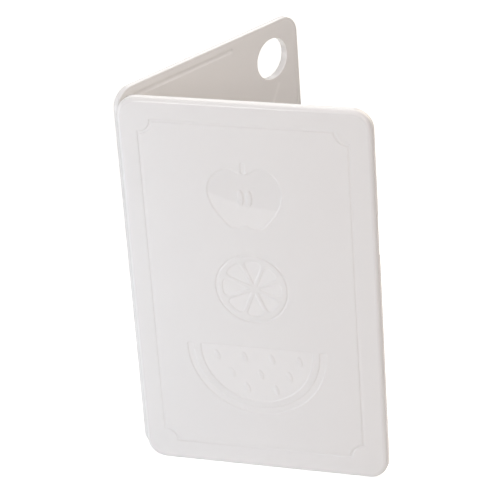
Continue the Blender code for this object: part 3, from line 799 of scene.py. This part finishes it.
def groove_hook(leaf, sizes, end_u):
    """The open juice groove, a C with round ends. Gives its outline.

    Each ring stays at one distance from the C's middle line: along its outer side, round one end in a half
    circle, back along its inner side and round the other end. The last ring lies on the middle line.
    """
    distance, depth = groove_profile(sizes)
    bend = sizes.groove_bend
    reach = sizes.groove_inset + bend
    left, low, high = FOLD_U + reach, reach, HEIGHT - reach
    rings = np.concatenate([
        arc((left, high), bend + distance, 90.0, 180.0, CORNER_STEPS),
        arc((left, low), bend + distance, 180.0, 270.0, CORNER_STEPS),
        arc((end_u, low - bend), distance, -90.0, 90.0, CORNER_STEPS),
        arc((left, low), bend - distance, 270.0, 180.0, CORNER_STEPS),
        arc((left, high), bend - distance, 180.0, 90.0, CORNER_STEPS),
        arc((end_u, high + bend), distance, -90.0, 90.0, CORNER_STEPS),
    ], axis=1)
    add_channel(leaf, rings, INNER_W + depth, depth / depth.max() / 2)
    return rings[0]


def hole_place(sizes):
    """Centre of the hanging hole."""
    return np.array([FREE_U - sizes.hole_inset, HEIGHT - sizes.hole_drop])


def hanging_hole(leaf, sizes):
    """The hanging hole: a profile turned about its axis. Gives its outline, which both faces share.

    The profile is a flat strip and a quarter circle from each face down to a straight wall.
    """
    quarter = np.radians(np.linspace(0.0, 90.0, ROUNDING_STEPS + 1))
    rim = sizes.hole_rim
    radius = np.append(rim + FLAT_STRIP, rim * (1 - np.sin(quarter))) + sizes.hole_radius
    fall = np.append(0.0, rim * (1 - np.cos(quarter)))
    radii = np.concatenate([radius, radius[::-1]])
    rings = arc(hole_place(sizes), radii, 0.0, 360.0 * (1 - 1 / HOLE_STEPS), HOLE_STEPS - 1)
    w = np.concatenate([OUTER_W - fall, INNER_W + fall[::-1]])
    in_hole = (fall > 0.0).astype(float)
    add_channel(leaf, rings, w, np.append(in_hole, in_hole[::-1]))
    return rings[0]


def weld_line(leaf, sizes):
    """The faint line where the plastic closed round the hole: a low ridge that ends softly.

    Its height is a squared cosine across times smooth steps at its two ends, and it is paler there. It
    leaves the hole's foot and leans towards the fold. Gives its outline.
    """
    leave, lead = (
        np.array([math.cos(turn), math.sin(turn)]) for turn in (sizes.weld_start, sizes.weld_angle))
    across = np.array([-lead[1], lead[0]])
    start = hole_place(sizes) + (sizes.hole_radius + sizes.hole_rim + sizes.weld_width) * leave
    along = np.linspace(0.0, 1.0, WELD_LONG_STEPS + 1)[:, None]
    aside = np.linspace(-0.5, 0.5, WELD_CROSS_STEPS + 1)[None, :]
    flat = start + along[..., None] * sizes.weld_length * lead
    flat = flat + aside[..., None] * sizes.weld_width * across
    ends = smooth_step(0.0, WELD_FADE_IN, along) * smooth_step(0.0, WELD_FADE_OUT, 1.0 - along)
    mark = np.cos(np.pi * aside) ** 2 * ends
    return leaf.add_grid(raise_flat(flat, INNER_W - sizes.weld_height * mark), pale=sizes.weld_pale * mark)


def feed(tree, node, inputs):
    """Fills a node's inputs: links those that are given a socket, and sets those that are given a value."""
    for name, value in inputs.items():
        if isinstance(value, bpy.types.NodeSocket):
            tree.links.new(value, node.inputs[name])
        else:
            node.inputs[name].default_value = value


def add_node(tree, kind, inputs, output, **settings):
    """Adds a shader node with its settings, fills its inputs and gives the output of that name."""
    node = tree.nodes.new("ShaderNode" + kind)
    for name, value in settings.items():
        setattr(node, name, value)
    feed(tree, node, inputs)
    return node.outputs[output]


def moulded_plastic_group():
    """Shader group of moulded plastic: cloudy flow in the tone, and a fine grain over slow waves."""
    name = "Moulded plastic"
    group = bpy.data.node_groups.get(name)
    if group is not None:
        return group
    group = bpy.data.node_groups.new(name, "ShaderNodeTree")
    for way, kind, sockets in (
            ("INPUT", "NodeSocketColor", ("Tone", "Shade")),
            ("INPUT", "NodeSocketFloat", ("Grain scale", "Flow scale", "Grain depth")),
            ("INPUT", "NodeSocketFloat", ("Flow depth", "Brightness")),
            ("OUTPUT", "NodeSocketColor", ("Colour",)),
            ("OUTPUT", "NodeSocketFloat", ("Roughness shift", "Height"))):
        for socket in sockets:
            group.interface.new_socket(socket, in_out=way, socket_type=kind)
    given = group.nodes.new("NodeGroupInput").outputs
    place = add_node(group, "TexCoord", {}, "Object")
    clouds = {"Vector": place, "Scale": given["Flow scale"], "Detail": 3.0, "Roughness": 0.55}
    flow = add_node(group, "TexNoise", {**clouds, "Distortion": 0.6}, "Fac")
    specks = {"Vector": place, "Scale": given["Grain scale"], "Detail": 2.0}
    grain = add_node(group, "TexNoise", specks, "Fac")
    spread = add_node(group, "MapRange", {"Value": flow, "From Min": 0.3, "From Max": 0.7}, "Result")
    tones = {"Factor": spread, "A": given["Shade"], "B": given["Tone"]}
    tone = add_node(group, "Mix", tones, "Result", data_type="RGBA")
    shift = {"Value": grain, "To Min": -GRAIN_ROUGHNESS, "To Max": GRAIN_ROUGHNESS}
    fine = add_node(group, "Math", {0: grain, 1: given["Grain depth"]}, "Value", operation="MULTIPLY")
    waves = {0: flow, 1: given["Flow depth"], 2: fine}
    feed(group, group.nodes.new("NodeGroupOutput"), {
        "Colour": add_node(group, "HueSaturation", {"Color": tone, "Value": given["Brightness"]}, "Color"),
        "Roughness shift": add_node(group, "MapRange", shift, "Result"),
        "Height": add_node(group, "Math", waves, "Value", operation="MULTIPLY_ADD"),
    })
    return group


def plastic(name, tone, shade, plain, polished, finish):
    """Satin white plastic: the moulded group drives its colour, roughness and bump.

    The mesh's gloss mask takes the roughness from plain to polished, and its pale mask lightens the tone and
    darkens it where shade is painted.
    """
    material = bpy.data.materials.new(name)
    material.use_nodes = True
    tree = material.node_tree
    gloss = add_node(tree, "Attribute", {}, "Fac", attribute_name="gloss")
    pale = add_node(tree, "Attribute", {}, "Fac", attribute_name="pale")
    surface = tree.nodes.new("ShaderNodeGroup")
    surface.node_tree = moulded_plastic_group()
    feed(tree, surface, {
        "Tone": (*tone, 1.0),
        "Shade": (*shade, 1.0),
        "Grain scale": 1.0 / finish.grain_size,
        "Flow scale": 1.0 / finish.flow_size,
        "Grain depth": finish.grain_depth,
        "Flow depth": finish.flow_depth,
        "Brightness": add_node(tree, "Math", {0: pale, 1: 1.0}, "Value", operation="ADD"),
    })
    roughness = add_node(tree, "MapRange", {"Value": gloss, "To Min": plain, "To Max": polished}, "Result")
    shifted = {0: roughness, 1: surface.outputs["Roughness shift"]}
    bump = {"Strength": 1.0, "Distance": 1.0, "Height": surface.outputs["Height"]}
    feed(tree, tree.nodes["Principled BSDF"], {
        "Base Color": surface.outputs["Colour"],
        "Roughness": add_node(tree, "Math", shifted, "Value", operation="ADD"),
        "Normal": add_node(tree, "Bump", bump, "Normal"),
        "IOR": PLASTIC_IOR,
    })
    return material


def shell_white(name, finish):
    """The leaves' white plastic."""
    return plastic(name, finish.shell_colour, finish.shell_shade,
                   finish.face_roughness, finish.gloss_roughness, finish)


def dress(piece, material, slot, *nodes):
    """Gives a piece its material and hides the nodes that it stands for. slot is not used."""
    piece.data.materials.append(material)
    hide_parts(*nodes)


class BOARD_OT_front_leaf(bpy.types.Operator):
    """Make the front leaf, with the frame and the fruit figures sunk in its outer face"""
    bl_idname = "board.front_leaf"
    bl_label = "Front Leaf"

    def execute(self, context):
        sizes, relief = context.scene.board_leaf, context.scene.board_relief
        figures, finish = context.scene.board_figures, context.scene.board_finish
        leaf = Leaf()
        outer_border, inner_border = edge_band(leaf, sizes)
        frame_out, frame_in = frame_line(leaf, [relief.bite_radius] * 4, relief)
        left, bottom, right, top = frame_sides(relief)
        middle = ((left + right) / 2 - figures.shift, (bottom + top) / 2)
        grids = [make(leaf, middle, figures, relief) for make in (apple, citrus, melon)]
        leaf.add_flat([outer_border, frame_out], OUTER_W)
        leaf.add_flat([frame_in] + grids, OUTER_W)
        groove_out, groove_in = groove_loop(leaf, sizes)
        leaf.add_flat([inner_border, groove_out], INNER_W)
        leaf.add_flat([groove_in], INNER_W)
        piece = leaf.stand("front_leaf", FRONT_SIDE)
        dress(piece, shell_white("front_white", finish), "white_shell", "front_panel")
        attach(piece, "front_leaf")
        return {"FINISHED"}


class BOARD_OT_rear_leaf(bpy.types.Operator):
    """Make the rear leaf, with the hanging hole, the open groove and a frame that bends round the hole"""
    bl_idname = "board.rear_leaf"
    bl_label = "Rear Leaf"

    def execute(self, context):
        sizes, relief = context.scene.board_leaf, context.scene.board_relief
        finish = context.scene.board_finish
        leaf = Leaf()
        outer_border, inner_border = edge_band(leaf, sizes)
        hole = hanging_hole(leaf, sizes)
        hole_centre = hole_place(sizes)
        corner_gap = np.linalg.norm(np.array(frame_sides(relief)[2:]) - hole_centre)
        bend = corner_gap + sizes.hole_radius + relief.hole_margin
        radii = [relief.bite_radius, relief.bite_radius, bend, relief.bite_radius]
        frame_out, frame_in = frame_line(leaf, radii, relief)
        leaf.add_flat([outer_border, frame_out, hole], OUTER_W)
        leaf.add_flat([frame_in], OUTER_W)
        groove = groove_hook(leaf, sizes, hole_centre[0] - sizes.hole_radius - sizes.groove_end_gap)
        leaf.add_flat([inner_border, groove, hole, weld_line(leaf, sizes)], INNER_W)
        piece = leaf.stand("rear_leaf", REAR_SIDE)
        dress(piece, shell_white("rear_white", finish), "white_shell", "rear_panel")
        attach(piece, "rear_leaf")
        return {"FINISHED"}


class BOARD_OT_hinge_film(bpy.types.Operator):
    """Make the film hinge, a thin strip bent to an arc between the leaves"""
    bl_idname = "board.hinge_film"
    bl_label = "Hinge Film"

    def execute(self, context):
        finish = context.scene.board_finish
        film = hinge_film()
        material = plastic("hinge_white", finish.film_colour, finish.film_shade,
                           finish.film_roughness, finish.film_roughness, finish)
        dress(film, material, "hinge_plastic", "hinge_film")
        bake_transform(film)
        return {"FINISHED"}


def film_arc():
    """Centre, radius, and first and last angle of the film's arc, seen from above.

    Laid flat the film is as long as the gap between the leaves, so the arc's radius is that length over the
    angle that it turns. Its centre lies on the line that halves the fold's angle.
    """
    turn = math.pi - REST_ANGLE
    radius = 2 * FOLD_U / turn
    centre = (FOLD_LINE.x + FOLD_U, FOLD_LINE.y + FOLD_U * math.tan(REST_ANGLE / 2))
    return centre, radius, -90.0, -90.0 - math.degrees(turn)


def hinge_film():
    """The film: a strip's rounded section carried along its arc, with both ends a little way in the leaves.

    The section's half thickness goes down by a quarter circle at the film's foot and head.
    """
    centre, radius, start, end = film_arc()
    grip = math.degrees(FILM_GRIP / radius)
    half = FILM_THICKNESS / 2
    outer = arc(centre, radius + half, start + grip, end - grip, FILM_STEPS)
    inner = arc(centre, radius - half, end - grip, start + grip, FILM_STEPS)
    section = np.concatenate([outer, inner])
    middle = np.concatenate([outer + inner[::-1], inner + outer[::-1]]) / 2
    quarter = np.radians(np.linspace(0.0, 90.0, ROUNDING_STEPS // 2 + 1))[:, None, None]
    flat = middle + (section - middle) * np.sin(quarter)
    fall = half * (1 - np.cos(quarter[..., 0]))
    rings = np.concatenate([raise_flat(flat, FILM_LOW.z + fall), raise_flat(flat, FILM_HIGH.z - fall)[::-1]])
    faces = ring_faces(*rings.shape[:2])
    return mesh_object("hinge_strip", rings.reshape(-1, 3), faces.tolist(), {})


class BOARD_OT_stage(bpy.types.Operator):
    """Make the white floor, the soft lamps, the sky and the camera"""
    bl_idname = "board.stage"
    bl_label = "Stage"

    def execute(self, context):
        stage = context.scene.board_stage
        make_floor(stage)
        make_lamps(stage)
        make_sky(context.scene)
        make_camera(context.scene, stage)
        context.scene.view_settings.view_transform = "Standard"
        return {"FINISHED"}


def seen_rays(tree):
    """1 for the rays that show a backdrop: from the camera, in a reflection or through a clear piece."""
    path = tree.nodes.new("ShaderNodeLightPath").outputs
    through = {0: path["Is Glossy Ray"], 1: path["Is Transmission Ray"]}
    either = add_node(tree, "Math", through, "Value", operation="MAXIMUM")
    return add_node(tree, "Math", {0: path["Is Camera Ray"], 1: either}, "Value", operation="MAXIMUM")


def make_floor(stage):
    """A wide white floor that keeps the shadow. Where it is seen it adds some white of its own.

    What it adds goes from the lift near the board to full white a few steps out, where lamps don't reach.
    """
    mesh = bpy.data.meshes.new("floor")
    signs = ((-1, -1), (1, -1), (1, 1), (-1, 1))
    corners = [(x * FLOOR_REACH, y * FLOOR_REACH, FLOOR_DROP) for x, y in signs]
    mesh.from_pydata(corners, [], [(0, 1, 2, 3)])
    floor = add_object("floor", mesh)
    material = bpy.data.materials.new("white_floor")
    material.use_nodes = True
    tree = material.node_tree
    place = add_node(tree, "TexCoord", {}, "Object")
    outwards = {
        "Value": add_node(tree, "VectorMath", {0: place}, "Value", operation="LENGTH"),
        "From Min": stage.lift_start,
        "From Max": stage.lift_end,
        "To Min": stage.floor_lift,
    }
    lift = {0: seen_rays(tree), 1: add_node(tree, "MapRange", outwards, "Result")}
    feed(tree, tree.nodes["Principled BSDF"], {
        "Base Color": (*stage.floor_colour, 1.0),
        "Roughness": FLOOR_ROUGHNESS,
        "Specular IOR Level": 0.0,
        "Emission Color": (*WHITE, 1.0),
        "Emission Strength": add_node(tree, "Math", lift, "Value", operation="MULTIPLY"),
    })
    mesh.materials.append(material)


def area_lamp(name, place, size, watts, tint):
    """A square soft lamp that looks at the lamps' target."""
    light = bpy.data.lights.new(name, "AREA")
    light.shape = "SQUARE"
    light.size = size
    light.energy = watts
    light.color = tint
    lamp = add_object(name, light)
    lamp.location = place
    lamp.rotation_euler = (Vector(LAMP_TARGET) - Vector(place)).to_track_quat("-Z", "Y").to_euler()


def make_lamps(stage):
    """Soft lamps all round: the front ones light the outer face and the warm one the inner faces.

    Each has its name, its place, the length of its sides, its power and its tint.
    """
    area_lamp("top_lamp", (0.0, 0.0, 0.8), 0.3, stage.top_power, WHITE)
    area_lamp("left_lamp", (-2.0, -0.3, 0.8), 1.2, stage.left_power, WHITE)
    area_lamp("low_lamp", (-0.35, -0.4, 0.02), 0.25, stage.low_power, stage.low_colour)
    area_lamp("side_lamp", (-0.8, -0.45, 0.05), 0.5, stage.side_power, WHITE)
    area_lamp("front_lamp", (0.3, -2.2, 1.2), 1.2, stage.front_power, WHITE)
    area_lamp("glint_lamp", (-0.63, -2.03, 0.36), 0.3, stage.glint_power, WHITE)
    area_lamp("right_lamp", (1.0, -2.0, 1.0), 0.8, stage.right_power, stage.right_colour)
    area_lamp("high_lamp", (0.5, -1.0, 1.8), 2.0, stage.high_power, stage.high_colour)
    area_lamp("back_lamp", (-0.5, 1.2, 1.1), 0.8, stage.back_power, WHITE)
    area_lamp("warm_lamp", (0.9, 1.7, 1.0), 1.8, stage.warm_power, stage.warm_colour)


def make_sky(scene):
    """A white sky that is seen but lights nothing, so that the lamps alone shape the board."""
    world = bpy.data.worlds.new("white_sky")
    scene.world = world
    world.use_nodes = True
    tree = world.node_tree
    feed(tree, tree.nodes["Background"], {"Color": (*WHITE, 1.0), "Strength": seen_rays(tree)})


def make_camera(scene, stage):
    """The camera at the photograph's viewing angle."""
    data = bpy.data.cameras.new("camera")
    data.sensor_width = SENSOR_WIDTH
    data.lens = stage.lens
    data.clip_end = VIEW_END
    camera = add_object("camera", data)
    camera.location = CAMERA_PLACE
    camera.rotation_euler = [math.radians(turn) for turn in CAMERA_TURN]
    scene.camera = camera


class BOARD_PT_panel(bpy.types.Panel):
    """The sidebar panel that lists the pieces"""
    bl_label = "Folding Cutting Board"
    bl_idname = "BOARD_PT_panel"
    bl_space_type = "VIEW_3D"
    bl_region_type = "UI"
    bl_category = "Board"

    def draw(self, context):
        for operator in OPERATORS:
            self.layout.operator(operator.bl_idname)


OPERATORS = (BOARD_OT_front_leaf, BOARD_OT_rear_leaf, BOARD_OT_hinge_film, BOARD_OT_stage)
GROUPS = {
    "board_leaf": BoardLeafSizes,
    "board_relief": BoardReliefSizes,
    "board_figures": BoardFigureSizes,
    "board_finish": BoardFinish,
    "board_stage": BoardStage,
}


def register():
    """Registers the classes and hangs the settings on the scene."""
    for name, group in GROUPS.items():
        bpy.utils.register_class(group)
        setattr(bpy.types.Scene, name, PointerProperty(type=group))
    for kind in (*OPERATORS, BOARD_PT_panel):
        bpy.utils.register_class(kind)


def unregister():
    """Takes the classes and the settings away again."""
    for kind in (BOARD_PT_panel, *OPERATORS[::-1]):
        bpy.utils.unregister_class(kind)
    for name, group in GROUPS.items():
        delattr(bpy.types.Scene, name)
        bpy.utils.unregister_class(group)


def main():
    """Makes every piece and the stage."""
    register()
    bpy.ops.board.front_leaf()
    bpy.ops.board.rear_leaf()
    bpy.ops.board.hinge_film()
    bpy.ops.board.stage()


if __name__ == "__main__":
    main()
